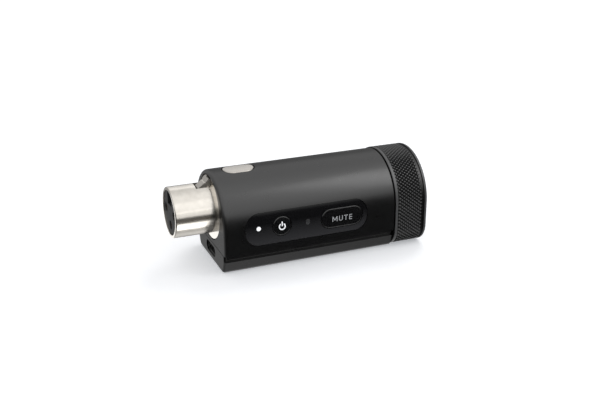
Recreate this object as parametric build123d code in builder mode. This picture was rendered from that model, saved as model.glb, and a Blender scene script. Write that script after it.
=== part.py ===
"""Plug-on wireless microphone transmitter.

A female XLR barrel with a sprung latch sits in the front of an arched metal body.
A tapered base closes the body from below and holds the charging socket. A gloss panel
in the side carries two push buttons, and a knurled cap pulls off the back end.

Frame: +X runs from the XLR barrel to the knurled cap, +Z is up, the buttons face -Y.
The origin is at the middle of the length and width, at the height of the cap's underside.
All sizes are in millimetres.
"""
import os
from math import sqrt

from build123d import *

# ---- Driving dimensions -------------------------------------------------------------

# Body
body_length = 56.2      # front face to the back end of the housing
arch_r = 14.83          # radius of the arched top, and half the width
skirt_edge = 0.9        # housing left under the XLR flange
skirt_margin = 1.4      # housing left under the side panel, at least
wall = 1.5
front_wall = 3.2
front_edge_r = 1.3
back_edge = 0.3

# Base cover
seam_gap = 0.2          # thin line between housing and base
groove_height = 2.2     # height of the side groove under the housing
groove_depth = 1.9      # how far the groove goes in from the body's side
socket_cover = 0.9      # base left above the charging socket, at least
base_inset = 1.2        # top edge of the base's side, in from the body's side
base_taper = 1.9        # the base's side leans in by this much towards the underside
base_corner_r = 1.6
base_wall = 1.4
base_floor = 1.2

# Side strips
strip_height = 1.15
strip_inset = 0.55
strip_end_gap = 1.0

# XLR connector
barrel_r = 7.85
barrel_wall = 0.9
barrel_length = 12.6    # in front of the body
barrel_tail = 13.0      # behind the front face
barrel_room = 1.98      # top of the barrel to the housing's roof
flange_width = 2.25     # the flange stands out round the barrel by this much
flange_gap = 0.15       # flange to the edge of its recess
barrel_gap = 0.05       # barrel to the hole in the housing, and insert to the barrel
flange_t = 1.5
flange_sink = 0.15
insert_sink = 0.35
contact_circle_r = 4.3
contact_bore_r = 1.22   # takes a 2.4 mm pin
contact_outer_r = 1.75
contact_depth = 12.0
contact_back = 1.2      # solid end of a contact, behind its bore
contact_tail_r = 0.6
contact_sink = 0.5      # contact's mouth behind the insert's face
contact_gap = 0.03
entry_r = 1.4           # hole in the insert's face
key_width = 4.4
key_floor = 2.4         # keyway floor above the barrel's axis

# Latch and its release button
lever_width = 3.4
lever_slot_gap = 0.25
hook_back = 1.8         # the hook's crest, in front of the body
hook_nose = 3.75        # the hook's nose, in front of the body
hook_rise = 0.65        # crest above the barrel
slot_front = 4.6        # front end of the slot in the barrel
slot_step = 1.1         # the slot is wide in front of here
slot_wide = 5.2
pin_back = 19.6         # lever's pin behind the front face
pin_r = 0.6
pin_drop = 1.8          # pin below the roof
knuckle_r = 1.2
release_x = 9.5         # button's centre behind the front face
release_length = 9.8
release_width = 6.0
release_proud = 0.1
release_gap = 0.3
release_travel = 0.8
release_t = 1.4
spring_room = release_travel + 1.5      # lever's pin above the bracket's floor

# Side panel and buttons
panel_front = 6.5
panel_length = 39.9
panel_top = 4.85        # above the arch's centre
panel_bottom = 5.2      # below it
panel_corner_r = 4.3
panel_t = 0.8
panel_sink = 0.15
panel_gap = 0.1
ledge = 1.0             # housing wall left under the panel's rim
power_x = 18.1
power_r = 3.0
mute_length = 14.0
mute_margin = 1.5       # panel's end to the mute button's end
mute_height = 6.2
button_gap = 0.15
button_proud = 0.1
button_travel = 0.35
status_x = 10.65
status_r = 0.68
mute_light_x = 26.5
mute_light_width = 1.3
mute_light_height = 1.95
symbol_r = 1.12
symbol_line = 0.36
letter_height = 1.65
letter_line = 0.22
mark_t = 0.05

# Board
board_t = 1.0
board_out = 11.0        # outer face of the board from the middle
board_front = 5.5
board_top = 7.0
board_low = 3.3
switch_size = 3.4
switch_t = 1.3
plunger_r = 0.8
stem_r = 0.7
plunger_room = button_travel + 0.15

# Charging socket
usb_width = 8.94
usb_height = 3.26
usb_wall = 0.3
usb_rise = 3.6          # centre above the underside
usb_depth = 7.4
usb_sink = 0.6
usb_gap = 0.08

# Knurled cap, collar and end plug
cap_gap = 0.2
cap_length = 11.3
cap_proud = 0.1         # outside the housing's skin
cap_rise = 0.2          # cap's arch centre above the housing's
cap_hang = 0.3          # cap's underside below the base's
cap_corner_r = 6.8
cap_front_edge = 0.35
cap_back_edge_r = 0.6
cap_groove = 0.6        # groove behind the knurl
cap_groove_depth = 0.45
cap_land = 1.7          # start of the groove to the cap's end
cap_clearance = 0.2     # neck to the cap's bore
cell_drop = 0.8         # cell's axis below the arch's centre
neck_wall = 1.3
neck_gap = 0.1          # collar's neck to the base round it
neck_length = 7.2
neck_tail = 8.0
collar_foot_t = 3.2     # block of the collar that the rear screws hold
lip_width = 1.5         # the lip reaches in over the plug's disc by this much
plug_disc_t = 1.5
plug_gap = 0.1
plug_clearance = 0.2
spigot_length = 5.0
seal_r = 0.35
snap_t = 0.7
snap_in = 0.4
key_t = 1.6

# Cell and its cradle
cell_r = 9.15
cell_room = 1.25        # cell to the collar's bore
cell_nub = 0.9
cell_front = 22.6       # front of the cell's nub behind the front face
cradle_gap = 0.2
cradle_t = 0.5

# Screws
screw_r = 0.75
screw_head_r = 1.35
screw_head_t = 0.6
screw_gap = 0.1
screw_length = 4.2
boss_r = 1.75
boss_rise = 3.0         # boss above the skirt's edge
boss_front = 9.0        # front screws behind the front face
boss_half = 8.8         # screws to either side of the middle

# ---- Places worked out from the sizes above -----------------------------------------

roof_r = arch_r - wall
flange_r = barrel_r + flange_width
barrel_rise = roof_r - barrel_room - barrel_r
skirt_drop = max(flange_r - barrel_rise + skirt_edge, panel_bottom + skirt_margin)
neck_r = cell_r + cell_room + neck_wall
neck_depth = cell_drop + neck_r + neck_gap - skirt_drop - seam_gap
socket_depth = usb_rise + usb_height / 2 + usb_gap + socket_cover
base_height = max(neck_depth + base_floor, socket_depth)    # seam to underside
cap_r = arch_r + cap_proud
arch_z = skirt_drop + seam_gap + base_height + cap_hang
cell_z = arch_z - cell_drop
cap_top_z = arch_z + cap_rise + cap_r
front_x = (barrel_length - body_length - cap_gap - cap_length) / 2
back_x = front_x + body_length
cap_x = back_x + cap_gap
cap_end_x = cap_x + cap_length
skirt_z = arch_z - skirt_drop
seam_z = skirt_z - seam_gap
base_z = seam_z - base_height
barrel_z = arch_z + barrel_rise
barrel_x = front_x - barrel_length
usb_z = base_z + usb_rise
tray_half = arch_r - groove_depth
insert_r = barrel_r - barrel_wall - barrel_gap
lever_slot = lever_width + 2 * lever_slot_gap
pin_x = front_x + pin_back
pin_z = arch_z + roof_r - pin_drop
mute_x = panel_front + panel_length - mute_margin - mute_length / 2
neck_x = back_x + neck_length
plug_disc_r = neck_r
bore_r = neck_r - neck_wall
lip_r = neck_r + cap_clearance - lip_width
plug_r = bore_r - plug_clearance
plug_x = neck_x + plug_gap
snap_x = neck_x - snap_in - snap_t
lip_x = plug_x + plug_disc_t + plug_gap
cell_x = front_x + cell_front
cell_end_x = neck_x - spigot_length - 1.4
cradle_r = cell_r + cradle_gap + cradle_t
board_in = board_out - board_t
base_top_half = arch_r - base_inset
contact_places = [
    (contact_circle_r, barrel_z + 0.3),
    (-contact_circle_r, barrel_z + 0.3),
    (0, barrel_z - contact_circle_r + 0.3),
]
collar_foot_x = back_x - base_wall - 0.1 - collar_foot_t
boss_places = [(front_x + boss_front, boss_half), (front_x + boss_front, -boss_half)]
foot_mid_x = collar_foot_x + collar_foot_t / 2
foot_places = [(foot_mid_x, boss_half), (foot_mid_x, -boss_half)]
screw_places = boss_places + foot_places
floor_z = base_z + base_floor
head_seat_z = floor_z - 0.5
switch_face = board_out + switch_t
lever_top_z = arch_z + roof_r - 0.23

names = []


def save(piece, name):
    """Write one piece as its own STEP file."""
    piece.label = name
    export_step(piece, f"parts/{name}.step")
    names.append(name)


def arch(x, inset, low=skirt_z):
    """Arched section in the plane at x, set in from the skin by inset."""
    half = arch_r - inset
    with BuildSketch(Plane.YZ.offset(x), mode=Mode.PRIVATE) as section:
        with BuildLine():
            Polyline((half, arch_z), (half, low), (-half, low), (-half, arch_z))
            ThreePointArc((-half, arch_z), (0, arch_z + half), (half, arch_z))
        make_face()
    return section.sketch


def disc(x, radius, z=None, y=0):
    """Round face in the plane at x."""
    with BuildSketch(Plane.YZ.offset(x), mode=Mode.PRIVATE) as face:
        with Locations((y, cell_z if z is None else z)):
            Circle(radius)
    return face.sketch


def annulus(x, outer, inner, z=None, y=0):
    """Ring-shaped face in the plane at x."""
    with BuildSketch(Plane.YZ.offset(x), mode=Mode.PRIVATE) as face:
        with Locations((y, cell_z if z is None else z)):
            Circle(outer)
            Circle(inner, mode=Mode.SUBTRACT)
    return face.sketch


def slab(x0, x1, y0, y1, z0, z1, mode=Mode.ADD):
    """Plain block between two corners."""
    with Locations(((x0 + x1) / 2, (y0 + y1) / 2, (z0 + z1) / 2)):
        Box(x1 - x0, y1 - y0, z1 - z0, mode=mode)


def side_plane(y):
    """Plane facing -Y: its x is the part's X, its y is the part's Z."""
    return Plane(origin=(0, y, 0), x_dir=(1, 0, 0), z_dir=(0, -1, 0))


def panel_outline(gap):
    """Rounded outline of the side panel, grown by gap."""
    height = panel_top + panel_bottom
    with BuildSketch(side_plane(0), mode=Mode.PRIVATE) as outline:
        with Locations((front_x + panel_front + panel_length / 2, arch_z + panel_top - height / 2)):
            RectangleRounded(panel_length + 2 * gap, height + 2 * gap, panel_corner_r + gap)
    return outline.sketch


def power_outline(radius):
    """Round outline of the power button."""
    with BuildSketch(side_plane(0), mode=Mode.PRIVATE) as outline:
        with Locations((front_x + power_x, arch_z)):
            Circle(radius)
    return outline.sketch


def mute_outline(gap):
    """Long rounded outline of the mute button, grown by gap."""
    with BuildSketch(side_plane(0), mode=Mode.PRIVATE) as outline:
        with Locations((front_x + mute_x, arch_z - 0.2)):
            SlotOverall(mute_length + 2 * gap, mute_height + 2 * gap)
    return outline.sketch


def status_outline(gap):
    """Round outline of the status light."""
    with BuildSketch(side_plane(0), mode=Mode.PRIVATE) as outline:
        with Locations((front_x + status_x, arch_z + 0.2)):
            Circle(status_r + gap)
    return outline.sketch


def mute_light_outline(gap):
    """Upright rounded outline of the mute light."""
    with BuildSketch(side_plane(0), mode=Mode.PRIVATE) as outline:
        with Locations((front_x + mute_light_x, arch_z)):
            SlotOverall(mute_light_height + 2 * gap, mute_light_width + 2 * gap, rotation=90)
    return outline.sketch


def skin_layer(outer_inset, inner_inset):
    """Layer of the body's skin between two insets, over the panel's length."""
    with BuildPart(mode=Mode.PRIVATE) as layer:
        extrude(arch(front_x + 1, outer_inset), amount=body_length - 2)
        extrude(arch(front_x + 1, inner_inset, skirt_z - 1), amount=body_length - 2, mode=Mode.SUBTRACT)
    return layer.part


def curved_pad(outline, outer_inset, inner_inset):
    """Piece of the body's skin inside an outline on the button side."""
    with BuildPart(mode=Mode.PRIVATE) as pad:
        extrude(outline, amount=arch_r + 5)
        add(skin_layer(outer_inset, inner_inset), mode=Mode.INTERSECT)
    return pad.part


def coil(radius, wire_r, turns, height, foot, direction):
    """Round wire wound in a helix that stands on foot and rises along direction."""
    rise = height - 2 * wire_r
    start = Vector(foot) + Vector(direction) * wire_r
    with BuildPart(mode=Mode.PRIVATE) as spring:
        with BuildLine() as path:
            Helix(pitch=rise / turns, height=rise, radius=radius, center=start, direction=direction)
        with BuildSketch(Plane(origin=path.line @ 0, z_dir=path.line % 0)):
            Circle(wire_r)
        sweep(path=path.line, is_frenet=True)
    return spring.part


# ---- Body ---------------------------------------------------------------------------

def make_housing():
    with BuildPart() as housing:
        extrude(arch(front_x, 0), amount=body_length)
        front = housing.faces().sort_by(Axis.X)[0]
        rim = front.edges().sort_by(Axis.Z)[1:]
        fillet(rim, front_edge_r)
        back = housing.faces().sort_by(Axis.X)[-1]
        chamfer(back.edges().sort_by(Axis.Z)[1:], back_edge)
        extrude(arch(front_x + front_wall, wall, skirt_z - 1), amount=body_length, mode=Mode.SUBTRACT)
        recess = disc(front_x - 1, flange_r + flange_gap, barrel_z)
        extrude(recess, amount=1 + flange_sink + flange_t, mode=Mode.SUBTRACT)
        extrude(disc(front_x, barrel_r + barrel_gap, barrel_z), amount=front_wall + 1, mode=Mode.SUBTRACT)
        slab(front_x - 1, front_x + front_wall + 1, -lever_slot / 2, lever_slot / 2,
             barrel_z, lever_top_z + 0.45, mode=Mode.SUBTRACT)
        with BuildSketch(Plane.XY.offset(arch_z + arch_r / 2)):
            with Locations((front_x + release_x, 0)):
                SlotOverall(release_length + 2 * release_gap, release_width + 2 * release_gap)
        extrude(amount=arch_r, mode=Mode.SUBTRACT)
        pocket = curved_pad(panel_outline(panel_gap), -0.5, panel_sink + panel_t)
        add(pocket, mode=Mode.SUBTRACT)
        extrude(panel_outline(-ledge), amount=arch_r + 5, mode=Mode.SUBTRACT)
        for x, y in boss_places:
            side = 1 if y > 0 else -1
            outer = side * (roof_r + 0.2)
            slab(x - boss_r, x + boss_r, min(y, outer), max(y, outer), skirt_z, skirt_z + boss_rise)
        with BuildSketch(Plane.XY.offset(floor_z + 0.05)):
            with Locations(*boss_places):
                Circle(boss_r)
        extrude(amount=skirt_z + boss_rise - floor_z - 0.05)
        with BuildSketch(Plane.XY.offset(floor_z)):
            with Locations(*boss_places):
                Circle(screw_r)
        extrude(amount=screw_length, mode=Mode.SUBTRACT)
    save(housing.part, "housing")


def base_outline(x):
    """Section of the base: a raised tray on a tapered foot."""
    groove_z = skirt_z - groove_height
    low_half = base_top_half - base_taper
    with BuildSketch(Plane.YZ.offset(x), mode=Mode.PRIVATE) as section:
        with BuildLine():
            Polyline(
                (tray_half, seam_z), (tray_half, groove_z), (base_top_half, groove_z),
                (low_half, base_z), (-low_half, base_z),
                (-base_top_half, groove_z), (-tray_half, groove_z), (-tray_half, seam_z),
                close=True,
            )
        make_face()
        fillet(section.vertices().group_by(Axis.Y)[0], base_corner_r)
    return section.sketch


def make_base_cover():
    inner_half = tray_half - base_wall
    with BuildPart() as base:
        extrude(base_outline(front_x), amount=body_length)
        front = base.faces().sort_by(Axis.X)[0]
        low_edges = front.edges().filter_by(lambda edge: edge.center().Z < skirt_z - groove_height - 0.2)
        fillet(low_edges, 0.9)
        slab(front_x + base_wall, back_x - base_wall, -inner_half, inner_half,
             floor_z, seam_z + 1, mode=Mode.SUBTRACT)
        extrude(disc(back_x - base_wall - 1, neck_r + neck_gap), amount=base_wall + 2, mode=Mode.SUBTRACT)
        with BuildSketch(Plane.YZ.offset(front_x - 1)):
            with Locations((0, usb_z)):
                SlotOverall(usb_width + 2 * usb_gap, usb_height + 2 * usb_gap)
        extrude(amount=1 + base_wall + 0.1, mode=Mode.SUBTRACT)
        with BuildSketch(Plane.XY.offset(base_z - 1)):
            with Locations(*screw_places):
                Circle(screw_r + screw_gap)
        extrude(amount=base_floor + 2, mode=Mode.SUBTRACT)
        with BuildSketch(Plane.XY.offset(base_z - 1)):
            with Locations(*screw_places):
                Circle(screw_head_r + screw_gap)
        extrude(amount=head_seat_z - base_z + 1, mode=Mode.SUBTRACT)
    save(base.part, "base_cover")


def make_strip(side, name):
    """Dark strip in the groove between housing and base, on one side."""
    inner = side * tray_half
    outer = side * (arch_r - strip_inset)
    with BuildPart() as strip:
        slab(front_x + 0.5, back_x - strip_end_gap, min(inner, outer), max(inner, outer),
             skirt_z - strip_height, skirt_z)
        outside = strip.faces().sort_by(Axis.Y)[-1 if side > 0 else 0]
        fillet(outside.edges().sort_by(Axis.Z)[0], 0.3)
    save(strip.part, name)


# ---- XLR connector ------------------------------------------------------------------

def make_xlr_shell():
    inner_r = barrel_r - barrel_wall
    flange_x = front_x + flange_sink
    tail_x = front_x + barrel_tail
    with BuildPart() as shell:
        extrude(disc(barrel_x, barrel_r, barrel_z), amount=barrel_length + barrel_tail)
        rim = shell.edges().filter_by(GeomType.CIRCLE).sort_by(Axis.X)[0]
        fillet(rim, 0.35)
        extrude(disc(flange_x, flange_r, barrel_z), amount=flange_t)
        outer_edge = shell.edges().filter_by(GeomType.CIRCLE).sort_by(SortBy.RADIUS)[-2:].sort_by(Axis.X)[0]
        chamfer(outer_edge, 0.25)
        hollow = disc(barrel_x - 1, inner_r, barrel_z)
        extrude(hollow, amount=barrel_length + barrel_tail + 2, mode=Mode.SUBTRACT)
        slab(front_x - slot_front, front_x - slot_step, -slot_wide / 2, slot_wide / 2,
             barrel_z + inner_r / 2, barrel_z + barrel_r + 1, mode=Mode.SUBTRACT)
        slab(front_x - slot_step, tail_x + 1, -lever_slot / 2, lever_slot / 2,
             barrel_z + inner_r / 2, barrel_z + flange_r + 1, mode=Mode.SUBTRACT)
    save(shell.part, "xlr_shell")


def make_xlr_insert():
    start_x = barrel_x + insert_sink
    end_x = front_x + barrel_tail - 0.4
    with BuildPart() as insert:
        extrude(disc(start_x, insert_r, barrel_z), amount=end_x - start_x)
        slab(start_x - 1, end_x + 1, -key_width / 2, key_width / 2,
             barrel_z + key_floor, barrel_z + barrel_r, mode=Mode.SUBTRACT)
        for y, z in contact_places:
            entry = disc(start_x - 1, entry_r, z, y)
            pocket = disc(start_x + contact_sink, contact_outer_r + contact_gap, z, y)
            tail_hole = disc(start_x, contact_tail_r + 0.1, z, y)
            extrude(entry, amount=2, mode=Mode.SUBTRACT)
            extrude(pocket, amount=contact_depth + contact_back + 0.3, mode=Mode.SUBTRACT)
            extrude(tail_hole, amount=end_x - start_x + 1, mode=Mode.SUBTRACT)
    save(insert.part, "xlr_insert")


def make_xlr_contacts():
    start_x = barrel_x + insert_sink + contact_sink
    back = start_x + contact_depth
    tail_end = front_x + barrel_tail + 2.0
    with BuildPart() as contacts:
        for y, z in contact_places:
            extrude(annulus(start_x, contact_outer_r, contact_bore_r, z, y), amount=contact_depth)
            extrude(disc(back, contact_outer_r, z, y), amount=contact_back)
            extrude(disc(back, contact_tail_r, z, y), amount=tail_end - back)
    save(contacts.part, "xlr_contacts")


def make_shell_clip():
    clip_x = front_x + front_wall + 0.1
    with BuildPart() as clip:
        extrude(annulus(clip_x, barrel_r + 1.35, barrel_r + 0.02, barrel_z), amount=1.2)
        slab(clip_x - 1, clip_x + 3, -4, 4, barrel_z, barrel_z + barrel_r + 3, mode=Mode.SUBTRACT)
    save(clip.part, "shell_clip")


def make_contact_board():
    board_x = front_x + barrel_tail + 0.3
    with BuildPart() as board:
        extrude(disc(board_x, insert_r - 0.4, barrel_z), amount=board_t)
        for y, z in contact_places:
            extrude(disc(board_x - 1, contact_tail_r + 0.05, z, y), amount=4, mode=Mode.SUBTRACT)
        slab(board_x - 1, board_x + 2, -lever_slot / 2, lever_slot / 2,
             barrel_z + key_floor, barrel_z + barrel_r, mode=Mode.SUBTRACT)
    save(board.part, "contact_board")


# ---- Latch --------------------------------------------------------------------------

def make_latch_lever():
    crest_z = barrel_z + barrel_r + hook_rise
    nose_z = crest_z - 1.5
    low_z = nose_z - 0.6
    with BuildPart() as lever:
        with BuildSketch(Plane.XZ):
            with BuildLine():
                Polyline(
                    (front_x - hook_nose, low_z), (front_x - hook_nose, nose_z),
                    (front_x - hook_back, crest_z), (front_x - hook_back + 0.4, crest_z),
                    (front_x - 0.45, lever_top_z),
                    (pin_x - 7.6, lever_top_z), (pin_x, pin_z + knuckle_r), (pin_x, pin_z - 0.6),
                    (pin_x - 2.2, pin_z - 0.2), (front_x + 0.6, lever_top_z - 1.2), (front_x - 1.0, low_z),
                    close=True,
                )
            make_face()
            with Locations((pin_x, pin_z)):
                Circle(knuckle_r)
                Circle(pin_r + 0.04, mode=Mode.SUBTRACT)
        extrude(amount=lever_width / 2, both=True)
    save(lever.part, "latch_lever")


def make_latch_pin():
    with BuildPart() as pin:
        with BuildSketch(Plane.XZ):
            with Locations((pin_x, pin_z)):
                Circle(pin_r)
        extrude(amount=3.2, both=True)
    save(pin.part, "latch_pin")


def make_latch_bracket():
    floor_top = pin_z - spring_room
    start_x = front_x + barrel_tail - 0.4
    with BuildPart() as bracket:
        slab(start_x, pin_x + 1.3, -3.2, 3.2, floor_top - 0.6, floor_top)
        for side in (-1, 1):
            y0 = side * (lever_width / 2 + 0.3)
            y1 = side * 3.2
            slab(pin_x - 1.4, pin_x + 1.3, min(y0, y1), max(y0, y1), floor_top - 0.6, pin_z + 1.2)
        extrude(disc(start_x - 1, insert_r + 0.2, barrel_z), amount=2.9, mode=Mode.SUBTRACT)
        with BuildSketch(Plane.XZ):
            with Locations((pin_x, pin_z)):
                Circle(pin_r + 0.01)
        extrude(amount=4, both=True, mode=Mode.SUBTRACT)
    save(bracket.part, "latch_bracket")


def make_latch_spring():
    foot_z = pin_z - spring_room
    spring_x = pin_x - 3.4
    spring = coil(0.85, 0.15, 3, pin_z - 0.27 - foot_z, (spring_x, 0, foot_z), (0, 0, 1))
    save(spring, "latch_spring")


def make_release_button():
    top_r = arch_r + release_proud
    cap_low = arch_z + top_r - release_t
    half = release_width / 2
    centre_x = front_x + release_x
    rail_half = release_length / 2 + 1
    with BuildPart() as button:
        with BuildSketch(Plane.XY.offset(cap_low)):
            with Locations((centre_x, 0)):
                SlotOverall(release_length, release_width)
        extrude(amount=release_t + 1)
        with BuildSketch(Plane.YZ.offset(front_x)):
            with Locations((0, arch_z)):
                Circle(top_r)
        extrude(amount=body_length, mode=Mode.INTERSECT)
        top = button.faces().sort_by(Axis.Z)[-1]
        fillet(top.edges(), 0.4)
        slab(centre_x - 1.5, centre_x + 0.5, -lever_width / 2, lever_width / 2, lever_top_z + 0.1, cap_low)
        for side in (-1, 1):
            y0 = side * (lever_width / 2 + 0.3)
            y1 = side * (half - 0.1)
            rail_top = arch_z + sqrt(roof_r ** 2 - (half - 0.1) ** 2) - 0.1
            slab(centre_x - 2.5, centre_x + 2.5, min(y0, y1), max(y0, y1), rail_top, cap_low)
            slab(centre_x - rail_half, centre_x + rail_half, min(y0, y1), max(y0, y1),
                 rail_top - 0.5, rail_top)
    save(button.part, "release_button")


# ---- Side panel, buttons and lights -------------------------------------------------

def make_control_panel():
    with BuildPart() as panel:
        add(curved_pad(panel_outline(0), panel_sink, panel_sink + panel_t))
        extrude(power_outline(power_r + button_gap), amount=arch_r + 5, mode=Mode.SUBTRACT)
        extrude(mute_outline(button_gap), amount=arch_r + 5, mode=Mode.SUBTRACT)
        extrude(status_outline(0.02), amount=arch_r + 5, mode=Mode.SUBTRACT)
        extrude(mute_light_outline(0.02), amount=arch_r + 5, mode=Mode.SUBTRACT)
    save(panel.part, "control_panel")


def flange_face(inset):
    """Distance from the middle to a flat face that clears the panel's back by inset."""
    return sqrt((arch_r - panel_sink - panel_t) ** 2 - (mute_height / 2 + 0.6) ** 2) - inset


def button_back(centre_x, length, height):
    """Flat flange behind the panel with a stem to the switch, added to the open part."""
    with BuildSketch(side_plane(0.4 - flange_face(0.08)), mode=Mode.PRIVATE) as flange:
        with Locations((centre_x, arch_z)):
            SlotOverall(length, height)
    extrude(flange.sketch, amount=0.4)
    with BuildSketch(side_plane(-switch_face - 0.25), mode=Mode.PRIVATE) as stem:
        with Locations((centre_x, arch_z)):
            Circle(stem_r)
    extrude(stem.sketch, amount=flange_face(0.4) - switch_face - 0.25)


def make_power_button():
    with BuildPart() as button:
        add(curved_pad(power_outline(power_r), panel_sink - button_proud, panel_sink + panel_t + 0.6))
        fillet(button.faces().sort_by(Axis.Y)[0].edges(), 0.12)
        button_back(front_x + power_x, 2 * power_r + 0.8, 2 * power_r + 0.7)
    save(button.part, "power_button")


def make_mute_button():
    with BuildPart() as button:
        add(curved_pad(mute_outline(0), panel_sink - button_proud, panel_sink + panel_t + 0.6))
        fillet(button.faces().sort_by(Axis.Y)[0].edges(), 0.12)
        button_back(front_x + mute_x, mute_length + 0.7, mute_height + 0.7)
    save(button.part, "mute_button")


def make_plunger(centre_x, name):
    with BuildPart() as plunger:
        with BuildSketch(side_plane(-board_out - plunger_room)):
            with Locations((centre_x, arch_z)):
                Circle(plunger_r)
        extrude(amount=switch_face + 0.25 - board_out - plunger_room)
    save(plunger.part, name)


def mark_layer(outline):
    """Thin raised mark on a button's curved face."""
    face = panel_sink - button_proud
    return curved_pad(outline, face - mark_t, face)


def make_power_symbol():
    centre_x = front_x + power_x
    centre_z = arch_z - 0.15
    with BuildSketch(side_plane(0)) as symbol:
        with Locations((centre_x, centre_z)):
            Circle(symbol_r)
            Circle(symbol_r - symbol_line, mode=Mode.SUBTRACT)
        with Locations((centre_x, centre_z + symbol_r)):
            Rectangle(1.0, 1.2, mode=Mode.SUBTRACT)
        with Locations((centre_x, centre_z + 0.87)):
            Rectangle(symbol_line, 1.42)
    save(mark_layer(symbol.sketch), "power_symbol")


def make_mute_lettering():
    """The word MUTE in plain strokes."""
    low = arch_z - 0.45 - letter_height / 2
    high = low + letter_height
    left = front_x + mute_x - 3.3
    m_width = 1.65
    notch = 0.48
    u_x = left + 2.83
    u_r = 0.62
    t_x = left + 4.52
    e_x = left + 5.66
    e_width = 0.95
    with BuildSketch(side_plane(0)) as word:
        with BuildLine():
            Polyline(
                (left, low), (left, high), (left + letter_line, high),
                (left + m_width / 2, low + 0.65), (left + m_width - letter_line, high),
                (left + m_width, high), (left + m_width, low), (left + m_width - letter_line, low),
                (left + m_width - letter_line, high - notch), (left + m_width / 2, low + 0.26),
                (left + letter_line, high - notch), (left + letter_line, low),
                close=True,
            )
        make_face()
        with Locations((u_x, low + u_r)):
            Circle(u_r)
            Circle(u_r - letter_line, mode=Mode.SUBTRACT)
        with Locations((u_x, low + u_r + letter_height / 2)):
            Rectangle(2 * u_r + 0.1, letter_height, mode=Mode.SUBTRACT)
        for x in (u_x - u_r + letter_line / 2, u_x + u_r - letter_line / 2):
            with Locations((x, (low + u_r + high) / 2)):
                Rectangle(letter_line, letter_height - u_r)
        with Locations((t_x, high - letter_line / 2)):
            Rectangle(1.3, letter_line)
        for x in (t_x, e_x + letter_line / 2):
            with Locations((x, low + letter_height / 2)):
                Rectangle(letter_line, letter_height)
        for z in (low + letter_line / 2, low + letter_height / 2, high - letter_line / 2):
            with Locations((e_x + e_width / 2, z)):
                Rectangle(e_width, letter_line)
    save(mark_layer(word.sketch), "mute_lettering")


def make_lenses():
    save(curved_pad(status_outline(0), panel_sink - 0.03, panel_sink + panel_t), "status_lens")
    save(curved_pad(mute_light_outline(0), panel_sink, panel_sink + panel_t), "mute_lens")


# ---- Electronics --------------------------------------------------------------------

def make_main_board():
    board_back = front_x + 47.5
    with BuildPart() as board:
        slab(front_x + board_front, board_back, -board_out, -board_in,
             arch_z - board_low, arch_z + board_top)
        with BuildSketch(side_plane(-board_in + 1)):
            with Locations(*board_screw_places()):
                Circle(0.65)
        extrude(amount=board_t + 2, mode=Mode.SUBTRACT)
    save(board.part, "main_board")


def board_screw_places():
    """Centres of the two board screws, in the side plane's x and y."""
    return [(cell_x + 1.4, arch_z + 3.0), (front_x + 46.3, arch_z + 3.0)]


def make_switch(centre_x, name):
    with BuildPart() as switch:
        slab(centre_x - switch_size / 2, centre_x + switch_size / 2, -switch_face, -board_out,
             arch_z - switch_size / 2, arch_z + switch_size / 2)
        with BuildSketch(side_plane(-board_out - 0.1)):
            with Locations((centre_x, arch_z)):
                Circle(plunger_r + 0.1)
        extrude(amount=switch_t, mode=Mode.SUBTRACT)
    save(switch.part, name)


def make_board_leds():
    with BuildPart() as leds:
        for x in (front_x + status_x, front_x + mute_light_x):
            slab(x - 0.8, x + 0.8, -board_out - 0.7, -board_out, arch_z - 0.4, arch_z + 0.4)
    save(leds.part, "board_leds")


def make_rf_shield():
    with BuildPart() as shield:
        slab(front_x + 27, front_x + 42, -board_in, -board_in + 0.9, arch_z + 4.4, arch_z + board_top - 0.2)
    save(shield.part, "rf_shield")


def make_board_chips():
    with BuildPart() as chips:
        slab(front_x + 15.5, front_x + 20.0, -board_in, -board_in + 0.9, arch_z - 2.5, arch_z + 2.0)
        slab(front_x + 15.5, front_x + 18.5, -board_in, -board_in + 0.9, arch_z + 3.2, arch_z + 5.6)
        slab(front_x + 29.0, front_x + 34.0, -board_out - 0.9, -board_out, arch_z + 2.2, arch_z + 5.2)
    save(chips.part, "board_chips")


def make_antenna():
    half = sqrt(roof_r ** 2 - 3.5 ** 2) - 0.2
    with BuildPart() as antenna:
        slab(front_x + 18, front_x + 44, half - 0.25, half, arch_z - 3.5, arch_z + 3.5)
        slab(front_x + 20, front_x + 42, half - 1, half + 1, arch_z - 1.8, arch_z + 1.8, mode=Mode.SUBTRACT)
    save(antenna.part, "antenna")


def make_usb_shell():
    start_x = front_x + usb_sink
    with BuildPart() as shell:
        with BuildSketch(Plane.YZ.offset(start_x)):
            with Locations((0, usb_z)):
                SlotOverall(usb_width, usb_height)
                SlotOverall(usb_width - 2 * usb_wall, usb_height - 2 * usb_wall, mode=Mode.SUBTRACT)
        extrude(amount=usb_depth)
    save(shell.part, "usb_shell")


def make_usb_tongue():
    start_x = front_x + usb_sink
    with BuildPart() as tongue:
        slab(start_x + 1.2, start_x + usb_depth - 1, -3.35, 3.35, usb_z - 0.35, usb_z + 0.35)
        with BuildSketch(Plane.YZ.offset(start_x + usb_depth - 1.2)):
            with Locations((0, usb_z)):
                SlotOverall(usb_width - 2 * usb_wall - 0.02, usb_height - 2 * usb_wall - 0.02)
        extrude(amount=1.2)
    save(tongue.part, "usb_tongue")


def make_usb_board():
    top = usb_z - usb_height / 2
    with BuildPart() as board:
        slab(front_x + base_wall + 0.3, front_x + 22, -6.5, 6.5, max(top - 0.8, base_z + base_floor), top)
    save(board.part, "usb_board")


def make_audio_flex():
    board_face = front_x + barrel_tail + 0.3 + board_t
    low = barrel_z - 5.7
    high = barrel_z - 1.7
    with BuildPart() as flex:
        slab(board_face, board_face + 0.15, -board_in + 0.2, -1.5, low, high)
        slab(board_face, board_face + 1.0, -board_in, -board_in + 0.2, low, high)
    save(flex.part, "audio_flex")


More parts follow.
